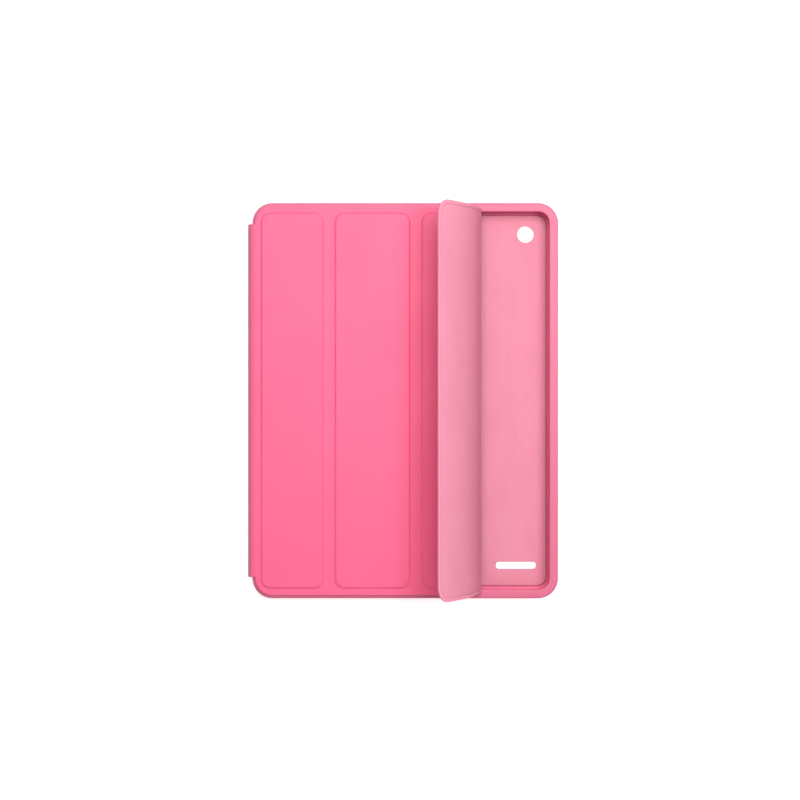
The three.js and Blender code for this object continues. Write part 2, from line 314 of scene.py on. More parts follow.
def arc(centre, radii, start, end, steps):
    """Rows of an elliptic arc, with its angles in degrees anticlockwise."""
    angle = np.radians(np.linspace(start, end, steps))
    return np.column_stack([centre[0] + radii[0] * np.cos(angle), centre[1] + radii[1] * np.sin(angle)])


shell_low, shell_high = (np.array(corner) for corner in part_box("shell_skin"))
shell_half = (shell_high - shell_low) / 2
SHELL_R = 12.5 * MM          # the outline's corners
SHELL_T = shell_high[2]
BACK_IN = 6 * MM             # how far in and how far up the side turns into the flat back
BACK_UP = 5 * MM
LIP_IN = 5.6 * MM
LIP_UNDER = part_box("lip_frame")[0].z
SKIN_T = 0.8 * MM            # the leather over the sides and the back
LIP_SKIN_T = 0.65 * MM       # the leather over the lip
TOP_ROLL = 1.3 * MM
LIP_ROLL = 0.75 * MM
TURN_IN = 0.6 * MM           # how thick the leather is on the lip's inner edge
RIM_MIDDLE = 3.2 * MM
EDGE_CUT = 0.1 * MM          # the small flat that breaks a sharp edge
INNER_SHIFT = 0.2 * MM       # how much deeper in the case the inner turn has its centre than the outer
inner_turn = (BACK_IN + INNER_SHIFT - SKIN_T, BACK_UP + INNER_SHIFT - SKIN_T)
shell_profile = np.concatenate([
    arc((BACK_IN, BACK_UP), (BACK_IN, BACK_UP), 270, 180, 16),
    arc((TOP_ROLL, SHELL_T - TOP_ROLL), (TOP_ROLL, TOP_ROLL), 180, 92, 12),
    [[RIM_MIDDLE, SHELL_T]],
    arc((LIP_IN - LIP_ROLL, SHELL_T - LIP_ROLL), (LIP_ROLL, LIP_ROLL), 88, 0, 10),
    [[LIP_IN, LIP_UNDER + EDGE_CUT], [LIP_IN - EDGE_CUT, LIP_UNDER], [LIP_IN - TURN_IN, LIP_UNDER]],
    [[LIP_IN - TURN_IN, SHELL_T - LIP_SKIN_T], [SKIN_T + 0.2 * MM, SHELL_T - LIP_SKIN_T]],
    [[SKIN_T, SHELL_T - LIP_SKIN_T - 0.25 * MM]],
    arc((BACK_IN + INNER_SHIFT, BACK_UP + INNER_SHIFT), inner_turn, 180, 270, 12),
])
shell_wrap = sweep_round("shell_wrap", shell_profile, shell_half[0], shell_half[1], SHELL_R, leather)


def opening_tool(outline, depths, offsets, side, at, height):
    """A closed cutter: the outline carried straight in through a wall, with its offset at each depth.
    side is top, bottom, right or back, at the place along the wall and height the place up it."""
    loops = []
    for depth, offset in zip(depths, offsets):
        centre_away = np.linalg.norm(outline, axis=1, keepdims=True)
        grown = outline * (1 + offset / centre_away)
        u, v = grown[:, 0], grown[:, 1]
        d = np.full(len(u), depth)
        if side == "top":
            loops.append(np.column_stack([at - u, shell_half[1] - d, height + v]))
        elif side == "bottom":
            loops.append(np.column_stack([at + u, -shell_half[1] + d, height + v]))
        elif side == "right":
            loops.append(np.column_stack([shell_half[0] - d, at + u, height + v]))
        else:
            loops.append(np.column_stack([at - u, height + v, d]))
    return np.concatenate(loops), capped_faces(loops)


def round_hole(radius, side, at, height):
    """An opening whose corners are so nearly half its width that it is round."""
    return radius, radius, radius - 0.001 * MM, side, at, height


SIDE_Z = 7.4 * MM            # the middle of the openings in the sides
ROLL = 0.45 * MM             # the round on the leather's edge at an opening
bend = np.linspace(0, math.pi / 2, 6)
roll_depths = ROLL * (1 - np.cos(bend))
roll_offsets = ROLL * (1 - np.sin(bend))
# each opening: half width, half height, corner radius, side, place along the side, place up it
openings = [
    round_hole(5.5 * MM, "back", 76 * MM, 105 * MM),
    (13 * MM, 2.5 * MM, 2.2 * MM, "back", 70 * MM, -104 * MM),
    (14 * MM, 3.1 * MM, 2 * MM, "bottom", 0, SIDE_Z),
    round_hole(4 * MM, "top", -76 * MM, SIDE_Z),
    round_hole(1 * MM, "top", 0, SIDE_Z),
    (5 * MM, 2.4 * MM, 2 * MM, "right", 103 * MM, SIDE_Z),
]
keys = [("power_key", "top"), ("volume_up_key", "right"), ("volume_down_key", "right")]
KEY_GAP = 0.35 * MM          # free all round a key
CORE_SNUG = 0.28 * MM        # how much smaller the openings are in the core than in the leather
BEYOND = 2 * MM              # how far a cutter stands out of the wall, and how deep it goes
WALL_DEEP = 7 * MM
BACK_DEEP = 4 * MM
for key, side in keys:
    low, high = (np.array(corner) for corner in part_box(key))
    along = 0 if side == "top" else 1
    half_length = (high[along] - low[along]) / 2 + KEY_GAP
    half_height = (high[2] - low[2]) / 2 + KEY_GAP
    at = (low[along] + high[along]) / 2
    openings.append((half_length, half_height, half_height - 0.1 * MM, side, at, SIDE_Z))


def punch(piece, rolled):
    """Cuts every opening of the shell through the piece; rolled gives the outer edge a small round,
    and a piece of the core gets each opening a little smaller."""
    points, faces, used = [], [], 0
    for half_u, half_v, radius, side, at, height in openings:
        if rolled:
            outline = rounded_outline(half_u, half_v, radius)
            depths = np.concatenate([[-BEYOND], roll_depths, [WALL_DEEP]])
            offsets = np.concatenate([[ROLL], roll_offsets, [0]])
        else:
            outline = rounded_outline(half_u - CORE_SNUG, half_v - CORE_SNUG, radius - CORE_SNUG)
            depths, offsets = [-BEYOND, WALL_DEEP], [0, 0]
        if side == "back":
            depths = np.minimum(depths, BACK_DEEP)
        tool_points, tool_faces = opening_tool(outline, depths, offsets, side, at, height)
        points.append(tool_points)
        faces += [part + used for part in tool_faces]
        used += len(tool_points)
    tool = build("opening_tool", np.concatenate(points), faces, leather)
    work = bmesh.new()
    work.from_mesh(tool.data)
    bmesh.ops.recalc_face_normals(work, faces=work.faces)
    work.to_mesh(tool.data)
    work.free()
    cut = piece.modifiers.new("openings", "BOOLEAN")
    cut.object = tool
    cut.operation = "DIFFERENCE"
    cut.solver = "EXACT"
    depsgraph = bpy.context.evaluated_depsgraph_get()
    result = bpy.data.meshes.new_from_object(piece.evaluated_get(depsgraph))
    piece.modifiers.clear()
    piece.data = result
    result.shade_smooth()
    result.set_sharp_from_angle(angle=math.radians(40))
    bpy.data.objects.remove(tool)


def point_places(piece):
    """The x, y and z of a piece's points, as three arrays."""
    places = np.empty(len(piece.data.vertices) * 3)
    piece.data.vertices.foreach_get("co", places)
    return places.reshape(-1, 3).T


def point_layer(piece, name, values):
    """Stores a value from 0 to 1 at each of a piece's points, under a name."""
    layer = piece.data.attributes.new(name, "FLOAT", "POINT")
    layer.data.foreach_set("value", np.clip(values, 0, 1).astype(np.float32))


def inset_from(x, y, half_x, half_y, radius):
    """Distance in from a rounded rectangle's outline; positive inside."""
    dx = np.abs(x) - (half_x - radius)
    dy = np.abs(y) - (half_y - radius)
    outside = np.hypot(np.maximum(dx, 0), np.maximum(dy, 0))
    return radius - outside - np.minimum(np.maximum(dx, dy), 0)


def smooth(t):
    """0 to 1 with level ends: three times the square less twice the cube."""
    t = np.clip(t, 0, 1)
    return t * t * (3 - 2 * t)


RIM_WORN = 0.6               # the stretch on the rim's flat top
CORNER_SHADE = 0.35           # painted shade added at the rim's outer corner, where it rounds down
CORNER_WIDE = 1.2 * MM
RIM_DEEP = 1.4 * MM          # how far down the sides the rim's worn colour and painted shade reach


def shell_wear_and_shade(x, y, z):
    """How much of the worn colour the wrap gets: much on the rim's flat top, as stretched leather, and
    more at the rim's outer corner, as painted shade where it rounds down; none on the sides and the
    back. Smooth steps of the inset and of the height lead from one to the next."""
    inset = inset_from(x, y, shell_half[0], shell_half[1], SHELL_R)
    # painted shade on the rim's outer corner
    corner = CORNER_SHADE * (1 - smooth(inset / CORNER_WIDE))
    return (RIM_WORN + corner) * smooth((z - SHELL_T + RIM_DEEP) / RIM_DEEP)


punch(shell_wrap, True)
point_layer(shell_wrap, "edge", shell_wear_and_shade(*point_places(shell_wrap)))
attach(shell_wrap, "shell")
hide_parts("shell_skin")


# ---------------------------------------------------------------- stiff core of the tray
# The core is moulded plastic, seen only inside the tray: a floor, a wall that holds the tablet's
# edge, and a lip that closes over its face. Its finish is a fine spark-eroded texture.
def moulded_finish(name, colour, dark, texture, roughness):
    """Moulded plastic: a spark-eroded texture and slight cloudiness."""
    moulded = Finish(name, Specular_IOR_Level=0.45)
    spark = moulded.noise(texture, 4.0)
    clouds = moulded.noise(18 * MM, 2.0)
    moulded.feed("Base Color", moulded.mix(moulded.level(clouds, 0.3, 0.8) * 0.4, colour, dark))
    moulded.feed("Roughness", roughness + spark * 0.12)
    moulded.bump(spark, 0.03 * MM, 0.5)
    return moulded.material


tray_plastic = moulded_finish("tray_plastic", (0.66, 0.10, 0.21, 1), (0.52, 0.07, 0.16, 1), 0.35 * MM, 0.5)
GLUE_GAP = 0.1 * MM          # between the leather and the core
CORE_OUT = SKIN_T + GLUE_GAP
CORE_SHIFT = INNER_SHIFT + GLUE_GAP
WALL_IN = 2.4 * MM
WALL_CUT = 0.2 * MM
WALL_FOOT_Z = 2.1 * MM
WALL_FOOT_R = 3.9 * MM       # the hollow turn where the wall meets the floor
wall_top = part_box("wall_frame")[1].z
wall_profile = np.concatenate([
    arc((BACK_IN + CORE_SHIFT, BACK_UP + CORE_SHIFT), inner_turn, 270, 180, 12),
    [[CORE_OUT, wall_top], [WALL_IN - WALL_CUT, wall_top], [WALL_IN, wall_top - WALL_CUT]],
    arc((WALL_IN + WALL_FOOT_R, WALL_FOOT_Z + WALL_FOOT_R), (WALL_FOOT_R, WALL_FOOT_R), 180, 270, 12),
])
tray_wall = sweep_round(
    "tray_wall", wall_profile, shell_half[0], shell_half[1], SHELL_R, tray_plastic, ring=True
)
punch(tray_wall, False)
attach(tray_wall, "shell")
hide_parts("wall_frame")

LIP_CORE_IN = 4.9 * MM
lip_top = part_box("lip_frame")[1].z
lip_profile = np.array([
    [CORE_OUT, LIP_UNDER],
    [CORE_OUT, lip_top - 0.25 * MM],
    [CORE_OUT + 0.2 * MM, lip_top],
    [LIP_CORE_IN - EDGE_CUT, lip_top],
    [LIP_CORE_IN, lip_top - EDGE_CUT],
    [LIP_CORE_IN, LIP_UNDER + EDGE_CUT],
    [LIP_CORE_IN - EDGE_CUT, LIP_UNDER],
])
lip = sweep_round("lip_core", lip_profile, shell_half[0], shell_half[1], SHELL_R, tray_plastic, ring=True)
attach(lip, "shell")
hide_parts("lip_frame")

plate_low, plate_high = (np.array(corner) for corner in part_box("back_plate"))
plate_r = SHELL_R - (shell_half[0] - plate_high[0])
PLATE_BEVEL = 0.15 * MM
plate_profile = np.array([
    [PLATE_BEVEL, plate_low[2]],
    [0.0, plate_low[2] + PLATE_BEVEL],
    [0.0, plate_high[2] - PLATE_BEVEL],
    [PLATE_BEVEL, plate_high[2]],
])
tray_floor = sweep_round("tray_floor", plate_profile, plate_high[0], plate_high[1], plate_r, tray_plastic)
punch(tray_floor, False)
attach(tray_floor, "shell")
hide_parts("back_plate")


# ---------------------------------------------------------------- microfibre bed of the tray
# A sheet of short-napped microfibre glued to the tray's floor, which the tablet's back lies on.
# Its edge is cut with round corners, and it is holed for the camera and the speaker.
NAP_PALE = (0.73, 0.275, 0.360, 1)
NAP_DEEP = (0.62, 0.205, 0.295, 1)
# dark pink: pressed nap, and painted shade on the flap's lining near the last fold
NAP_PRESSED_AND_SHADE = (0.38, 0.095, 0.155, 1)


def microfibre_finish(name):
    """Napped microfibre: a felt of fine fibres, brushed patches that lean and shade, and a soft sheen. It
    is darker where pressed, and near the flap's last fold that darkening is painted shade.
    """
    nap = Finish(name, Specular_IOR_Level=0.15, Sheen_Weight=0.15, Sheen_Roughness=0.5)
    nap.shader.inputs["Sheen Tint"].default_value = (1.0, 0.75, 0.80, 1)
    fibres = nap.noise(0.16 * MM, 5.0)
    tufts = nap.cells(0.5 * MM)
    brushed = nap.noise(16 * MM, 3.0, (1.0, 0.45, 1.0))
    streaks = nap.noise(1.2 * MM, 3.0, (1.0, 0.2, 1.0))
    pressed = nap.attribute("pressed")
    shade = nap.level(brushed, 0.35, 0.70) * 0.26 + nap.level(streaks, 0.35, 0.75) * 0.14
    shade = shade + nap.level(fibres, 0.4, 0.7) * 0.20 + nap.level(tufts, 0.2, 0.7) * 0.12
    colour = nap.mix(shade, NAP_PALE, NAP_DEEP)
    # the pressed colour, which near the last fold is painted shade
    nap.feed("Base Color", nap.mix(pressed * 0.85, colour, NAP_PRESSED_AND_SHADE))
    nap.feed("Roughness", 0.88 + fibres * 0.10)
    nap.bump(fibres * 0.7 + (1 - tufts) * 0.3, 0.08 * MM, 0.8)
    return nap.material


microfibre = microfibre_finish("pink_microfibre")
bed_low, bed_high = (np.array(corner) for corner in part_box("shell_lining"))
BED_R = 5.5 * MM
BED_ROLL = 0.2 * MM
BED_PRESSED = 0.28           # the tablet's back lies on the nap and flattens it
bed_profile = np.array([
    [0.0, bed_low[2]],
    [0.0, bed_high[2] - BED_ROLL],
    [0.3 * BED_ROLL, bed_high[2] - 0.3 * BED_ROLL],
    [BED_ROLL, bed_high[2]],
])
tray_bed = sweep_round("tray_bed", bed_profile, bed_high[0], bed_high[1], BED_R, microfibre)
punch(tray_bed, False)
point_layer(tray_bed, "pressed", np.full(len(tray_bed.data.vertices), BED_PRESSED))
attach(tray_bed, "shell")
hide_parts("shell_lining")


# ---------------------------------------------------------------- power and volume keys
# Three soft keys moulded in the wall's colour press through to the tablet's own buttons. Each is
# a long pill with a crowned face, and carries a raised mark: a dot, a plus or a bar.
key_plastic = moulded_finish("key_plastic", (0.86, 0.14, 0.28, 1), (0.74, 0.11, 0.23, 1), 0.25 * MM, 0.42)


def pill(name, centre, half_u, half_v, depth, side, material, radius=None, crown=0.15 * MM):
    """A pill that stands out of a wall: its outline carried straight out, then rounded off by a quarter
    circle to a crowned face. centre is the middle of the face, half_u along the wall, half_v up it."""
    radius = radius or half_v * 0.95
    round_off = min(0.45 * MM, radius * 0.45, depth * 0.6)
    bend = np.linspace(0, math.pi / 2, 7)
    insets = np.concatenate([[0], round_off * (1 - np.cos(bend)), [radius * 0.75]])
    backs = np.concatenate([[depth], crown + round_off * (1 - np.sin(bend)), [0]])
    loops = []
    for inset, back in zip(insets, backs):
        u, v = rounded_outline(half_u - inset, half_v - inset, radius - inset, 10).T
        if side == "right":
            loops.append(np.column_stack([np.full(len(u), centre[0] - back), centre[1] + u, centre[2] + v]))
        else:
            loops.append(np.column_stack([centre[0] - u, np.full(len(u), centre[1] - back), centre[2] + v]))
    return build(name, np.concatenate(loops), capped_faces(loops), material)


MARK_T = 0.35 * MM
MARK_PROUD = 0.14 * MM
DOT = 0.9 * MM
BAR = 1.1 * MM
BAR_THIN = 0.28 * MM
marks_of = {
    "power_key": [(DOT, DOT)],
    "volume_up_key": [(BAR, BAR_THIN), (BAR_THIN, BAR)],
    "volume_down_key": [(BAR, BAR_THIN)],
}
for key, side in keys:
    low, high = (np.array(corner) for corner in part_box(key))
    across = 1 if side == "top" else 0
    along = 1 - across
    face = (low + high) / 2
    face[across] = high[across]
    key_piece = pill(
        key.replace("key", "button"), face, (high[along] - low[along]) / 2, (high[2] - low[2]) / 2,
        high[across] - low[across], side, key_plastic,
    )
    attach(key_piece, key)
    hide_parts(key)
    mark_face = face.copy()
    mark_face[across] += MARK_PROUD
    for number, (half_u, half_v) in enumerate(marks_of[key], 1):
        mark = pill(
            f"{key}_mark_{number}", mark_face, half_u, half_v, MARK_T, side, key_plastic,
            min(half_u, half_v) * 0.98, 0.02 * MM,
        )
        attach(mark, key)


# ---------------------------------------------------------------- cover panels
# Four stiff boards sealed between one sheet of leather outside and one of microfibre inside. The
# leather is pressed down round each board, so the board stands proud with soft round edges.
COVER_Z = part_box("panel_1_lining")[0].z
cover_half_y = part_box("panel_1_skin")[1].y
COVER_R = 10.5 * MM
LAYER_Z = 0.42 * MM          # where the leather meets the microfibre, above the cover's underside
BORDER_Z = 1.4 * MM          # the leather's face beside a board, and how far it rises over one
RAISED_BY = 0.82 * MM
RAISED_R = 6 * MM
RAISED_Y = 117 * MM
GUTTER_HALF = 3.5 * MM       # from a fold's middle to the board
FOLD_HALF = 2.5 * MM         # from a fold's middle to the panel's end
EDGE_ROLL = 0.45 * MM
NAP_ROLL = 0.34 * MM
NOTCH = 1.6 * MM             # how far the cover's edge draws in at the last fold
NOTCH_REACH = 15 * MM
SEAM_IN = 2.5 * MM           # the pressed seam, in from the cover's edge
FAR = 1.0                    # further than anything on the cover
fold_joints = [joint for joint in frame["joints"] if joint["name"].startswith("fold_")]
folds = [joint["pos_m"][0] for joint in fold_joints]
cover_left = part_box("panel_1_skin")[0].x
cover_right = -cover_left
panel_spans = list(zip([cover_left, *folds], [*folds, cover_right]))
board_spans = [(x0 + GUTTER_HALF, x1 - GUTTER_HALF) for x0, x1 in panel_spans]


def cover_edge_y(x):
    """Half height of the cover at x: straight, with round corners at both ends and a shallow notch at
    the last fold."""
    from_end = np.minimum(x - cover_left, cover_right - x)
    away = np.clip(COVER_R - from_end, 0, COVER_R)
    corner = COVER_R - np.sqrt(np.maximum(COVER_R ** 2 - away ** 2, 0))
    notch = NOTCH * (1 - smooth(np.abs(x - folds[2]) / NOTCH_REACH))
    return cover_half_y - corner - notch


def edge_distance(x, y):
    """Distance in from the cover's outline: from the round at a corner, and elsewhere from the long
    edge or the free end. The end at the spine has no edge."""
    along_y = cover_edge_y(x) - np.abs(y)
    from_end = np.minimum(x - cover_left, cover_right - x)
    corner_x = COVER_R - from_end
    corner_y = np.abs(y) - (cover_half_y - COVER_R)
    in_corner = (corner_x > 0) & (corner_y > 0)
    round_part = COVER_R - np.hypot(np.maximum(corner_x, 0), np.maximum(corner_y, 0))
    free_end = np.where(x > 0, cover_right - x, FAR)
    return np.where(in_corner, round_part, np.minimum(along_y, free_end))


def board_depth(x, y):
    """Distance in from the nearest board's outline; positive over a board."""
    best = np.full(np.broadcast(x, y).shape, -FAR)
    for x0, x1 in board_spans:
        middle, half = (x0 + x1) / 2, (x1 - x0) / 2
        best = np.maximum(best, inset_from(x - middle, y, half, RAISED_Y, RAISED_R))
    return best


def drop_at_edge(distance, radius):
    """How far a surface falls as it rolls over an edge: a quarter circle of this radius."""
    t = np.clip(1 - distance / radius, 0, 1)
    return radius * (1 - np.sqrt(np.maximum(1 - t * t, 0)))


def fold_distance(x):
    """How far x is from the nearest fold's middle."""
    return np.min([np.abs(x - fold) for fold in folds], axis=0)


STEP_OUT = 0.35 * MM         # the leather's step up over a board starts this far outside it
STEP_WIDE = 1.45 * MM
WAVE = 0.035 * MM            # the glued sheet's waviness, and its finer unevenness
UNEVEN = 0.02 * MM
CREASE_DEEP = 0.12 * MM
CREASE_HALF = 2.2 * MM


def leather_top(x, y):
    """The leather's outer face above the cover's underside: a flat border, a smooth step up over each
    board with the faint waviness of a glued sheet, a crease along each fold, and the rolled edge."""
    raised = smooth((board_depth(x, y) + STEP_OUT) / STEP_WIDE)
    wave = WAVE * np.sin(x / (9 * MM) + 0.6) * np.sin(y / (21 * MM) + 1.1)
    fine = UNEVEN * np.sin(x / (3.1 * MM)) * np.sin(y / (5.3 * MM) + 2.0 * np.sin(x / (17 * MM)))
    crease = CREASE_DEEP * (1 - smooth(fold_distance(x) / CREASE_HALF))
    edge = drop_at_edge(edge_distance(x, y), EDGE_ROLL)
    return BORDER_Z + (RAISED_BY + wave + fine) * raised - crease - edge


def layer_plane(x, y):
    """The flat glue line between the leather and the microfibre."""
    return np.full(np.broadcast(x, y).shape, LAYER_Z)


SEAM_HALF = 0.38 * MM        # the seam's bell is down to about a third this far from its middle
SEAM_SUNK = 0.2 * MM         # how deep the microfibre is sunk along the seam, over the gutters,
GUTTER_SUNK = 0.14 * MM      # outside the seam, under the folds and at the most
BORDER_SUNK = 0.05 * MM
FOLD_SUNK = 0.28 * MM
MOST_SUNK = 0.32 * MM
GUTTER_OUT = 0.6 * MM        # the gutters start this far outside a board
GUTTER_STEP = 2 * MM
FOLD_SUNK_HALF = 3.2 * MM
LEAST_NAP = 0.02 * MM        # the microfibre is nowhere thinner


def seam_depth(x, y):
    """1 on the heat-pressed line that seals the microfibre to the leather, 0 away from it: a bell
    curve of the distance from the line."""
    return np.exp(-((edge_distance(x, y) - SEAM_IN) / SEAM_HALF) ** 2)


def lining_bottom(x, y):
    """The microfibre's inner face above the cover's underside: sunk over the gutters, along the seam
    and most under the folds, with a soft rolled edge, and never quite as deep as the glue line."""
    gutter = GUTTER_SUNK * (1 - smooth((board_depth(x, y) + GUTTER_OUT) / GUTTER_STEP))
    sunk = np.where(edge_distance(x, y) > SEAM_IN, gutter, BORDER_SUNK)
    sunk = np.maximum(sunk, FOLD_SUNK * (1 - smooth(fold_distance(x) / FOLD_SUNK_HALF)))
    sunk = np.minimum(sunk + SEAM_SUNK * seam_depth(x, y), MOST_SUNK)
    edge = drop_at_edge(edge_distance(x, y), NAP_ROLL)
    return np.minimum(sunk + edge, LAYER_Z - LEAST_NAP)


ROLL_STEPS = np.array([0, 0.02, 0.08, 0.18, 0.32, 0.48])     # lines over a rolled edge, in millimetres


def sheet_lines(x0, x1):
    """Places of the grid's lines in x: close together where the surface turns, a millimetre elsewhere."""
    lines = [np.arange(x0, x1, 1.1 * MM), [x0, x1]]
    over_edge = np.arange(-0.7, 1.5, 0.2) * MM
    for board_start, board_end in board_spans:
        lines.append(board_start + over_edge)
        lines.append(board_end - over_edge)
    turn = np.radians(np.linspace(0, 90, 21))
    lines.append(cover_left + COVER_R * (1 - np.cos(turn)))
    lines.append(cover_right - COVER_R * (1 - np.cos(turn)))
    near = np.concatenate([ROLL_STEPS, [0.7, 1.1, 1.6, 1.9, 2.2, 2.5, 2.8, 3.1]])
    lines.append(cover_right - near * MM)
    lines.append(folds[2] + np.arange(-9, 9.1, 0.8) * MM)
    lines = np.unique(np.round(np.concatenate(lines), 6))
    lines = lines[(lines >= x0 - 1e-7) & (lines <= x1 + 1e-7)]
    lines = lines[np.concatenate([[True], np.diff(lines) > 0.012 * MM])]
    lines[0], lines[-1] = x0, x1
    return lines


def sheet_rows(half):
    """Places of the grid's lines in y as fractions of the half height, close together near the edges."""
    seam = [0.7, 1.0, 1.4, 1.8, 2.1, 2.4, 2.7, 3.0, 3.3, 3.6, 3.9]
    board_edge = [4.15, 4.4, 4.65, 4.9, 5.2, 5.6, 6.1, 6.7, 7.4, 8.2, 9.1, 10.2, 11.5, 13]
    near = np.concatenate([ROLL_STEPS, seam, board_edge])
    middle = np.arange(-half + 13.5 * MM, half - 13 * MM, 3 * MM)
    rows = np.concatenate([-half + near * MM, middle, half - near * MM])
    return np.unique(np.round(rows, 7)) / half


def slab_faces(nx, ny):
    """Faces of a closed slab from two grids of nx by ny points, the outer face's first: quads on both
    faces, and one row of quads round the rim."""
    index = np.arange(nx * ny).reshape(nx, ny)
    a, b, c, d = index[:-1, :-1], index[1:, :-1], index[1:, 1:], index[:-1, 1:]
    outer = np.stack([a, b, c, d], axis=-1).reshape(-1, 4)
    inner = outer[:, ::-1] + nx * ny
    rim = np.concatenate([index[:, 0], index[-1, 1:], index[-2::-1, -1], index[0, -2:0:-1]])
    after = np.roll(rim, -1)
    return [outer, inner, np.stack([rim, rim + nx * ny, after + nx * ny, after], axis=-1)]


SHEET_CREASE = 50            # sheets shade smooth across edges up to this many degrees


def sheet(name, xs, rows, top, bottom, material, place):
    """A closed sheet of the cover on a grid of xs by rows, with the flat x and y of its points. y is a
    row's fraction of the cover's half height, top and bottom give the faces' heights, and place
    carries the flat points to where they belong."""
    x = np.repeat(xs[:, None], len(rows), axis=1)
    y = cover_edge_y(xs)[:, None] * rows[None, :]
    upper = np.stack([x, y, top(x, y)], axis=-1).reshape(-1, 3)
    lower = np.stack([x, y, bottom(x, y)], axis=-1).reshape(-1, 3)
    points = place(np.concatenate([upper, lower]))
    piece = build(name, points, slab_faces(*x.shape), material, SHEET_CREASE)
    return piece, np.tile(x.ravel(), 2), np.tile(y.ravel(), 2)


def lift(points):
    """Flat cover points to their height in the closed case."""
    return points + np.array([0, 0, COVER_Z])


last_fold = fold_joints[-1]
FLAP_TURN = math.radians(last_fold["range_deg"][1])
flap_axis = np.array([last_fold["pos_m"][0], last_fold["pos_m"][2]])


def turn_about_flap(points, angle):
    """Turns points about the last fold, up and back over the cover, by an angle each."""
    x, z = points[:, 0] - flap_axis[0], points[:, 2] - flap_axis[1]
    turned = points.copy()
    turned[:, 0] = flap_axis[0] + x * np.cos(angle) - z * np.sin(angle)
    turned[:, 2] = flap_axis[1] + x * np.sin(angle) + z * np.cos(angle)
    return turned


def fold_back(points):
    """Flat cover points to the folded flap."""
    return turn_about_flap(lift(points), FLAP_TURN)


def edge_wear_and_shade(x, y):
    """How much of the worn colour the leather gets: most on the cover's outer edge, as wear and as painted
    shade on the rolled edge, and more at its free end as wear.
    """
    # wear and painted shade on the rolled outer edge
    outer = 0.6 * (1 - smooth(edge_distance(x, y) / (0.9 * MM)))
    free_end = 0.3 * (1 - smooth((cover_right - x) / (1.5 * MM)))
    return outer + free_end


def nap_wear_and_shade(x, y):
    """How dark the nap is made: pressed flat a little inside the seam and more along it, and painted
    shade on the flap's lining that grows towards the last fold."""
    from_fold = x - folds[2]
    # painted shade on the flap's lining, darkest at the last fold and fading over about 16 mm
    painted_fold_shade = np.exp(-np.where(from_fold > 0, from_fold / (16 * MM), -from_fold / (4 * MM)))
    field = 0.2 * smooth(edge_distance(x, y) / SEAM_IN)
    return field + 0.3 * seam_depth(x, y) + painted_fold_shade


def cover_pieces(name, x0, x1, place, rows):
    """The leather and the microfibre of one stretch of the cover, from x0 to x1."""
    xs = sheet_lines(x0, x1)
    skin, flat_x, flat_y = sheet(
        f"{name}_leather", xs, rows, leather_top, layer_plane, leather, place
    )
    point_layer(skin, "edge", edge_wear_and_shade(flat_x, flat_y))
    lining, flat_x, flat_y = sheet(
        f"{name}_microfibre", xs, rows, layer_plane, lining_bottom, microfibre, place
    )
    point_layer(lining, "pressed", nap_wear_and_shade(flat_x, flat_y))
    return skin, lining


cover_rows = sheet_rows(cover_half_y)
for number, (x0, x1) in enumerate(panel_spans, 1):
    is_flap = number == len(panel_spans)
    start = x0 if number == 1 else x0 + FOLD_HALF
    end = x1 if is_flap else x1 - FOLD_HALF
    panel = f"panel_{number}"
    skin, lining = cover_pieces(panel, start, end, fold_back if is_flap else lift, cover_rows)
    for piece, node in ((skin, f"{panel}_skin"), (lining, f"{panel}_lining")):
        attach(piece, panel)
        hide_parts(node)


# ---------------------------------------------------------------- soft folds between the panels
# Where there is no board the two sheets are glued face to face, and there the cover folds. The first
# two folds lie flat; the last is bent back on itself, so its strip is drawn flat and then bent.
def fold_ends(fold, turn):
    """Where a fold's strip starts on one panel and ends on the next, once that one is turned back."""
    ends = np.array([[fold - FOLD_HALF, 0, flap_axis[1]], [fold + FOLD_HALF, 0, flap_axis[1]]])
    return ends[0], turn_about_flap(ends[1:], turn)[0] if turn else ends[1]


def bend_back(points):
    """Flat points of the last fold to their bent place. The share of the whole turn that a point makes
    is the smooth step of how far its bent place lies along the line between the strip's two ends,
    found by halving the range forty times."""
    flat = lift(points)
    start, end = fold_ends(folds[2], FLAP_TURN)
    line = end - start
    low, high = np.zeros(len(flat)), np.ones(len(flat))
    for _ in range(40):
        share = (low + high) / 2
        bent = turn_about_flap(flat, share * FLAP_TURN)
        wanted = smooth((bent - start) @ line / (line @ line))
        low = np.where(wanted > share, share, low)
        high = np.where(wanted > share, high, share)
    return turn_about_flap(flat, share * FLAP_TURN)


for number, fold in enumerate(folds, 1):
    bent = number == len(folds)
    skin, lining = cover_pieces(
        f"fold_{number}", fold - FOLD_HALF, fold + FOLD_HALF, bend_back if bent else lift, cover_rows
    )
    start, end = fold_ends(fold, FLAP_TURN if bent else 0)
    for piece, node in ((skin, f"fold_{number}_skin"), (lining, f"fold_{number}_lining")):
        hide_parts(node)
        f"panel_{number + 1}"
        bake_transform(piece)


# ---------------------------------------------------------------- spine and its two hinge strips
# The cover's leather carries on over the corner, down the spine and in under the tray, where it is
# glued. The spine has a narrow stiff board; the strips above and below it have none and bend.
spine_low, spine_high = (np.array(corner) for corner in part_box("spine_skin"))
SPINE_Y = spine_high[1]
STRIP_T = BORDER_Z - LAYER_Z
SPINE_ROLL = 0.4 * MM
CORNER_SHADE_DEEP = 2.5 * MM         # how far down the spine the painted shade of its upper corner reaches
skin_x = spine_low[0]
leather_mid = skin_x + SKIN_T / 2


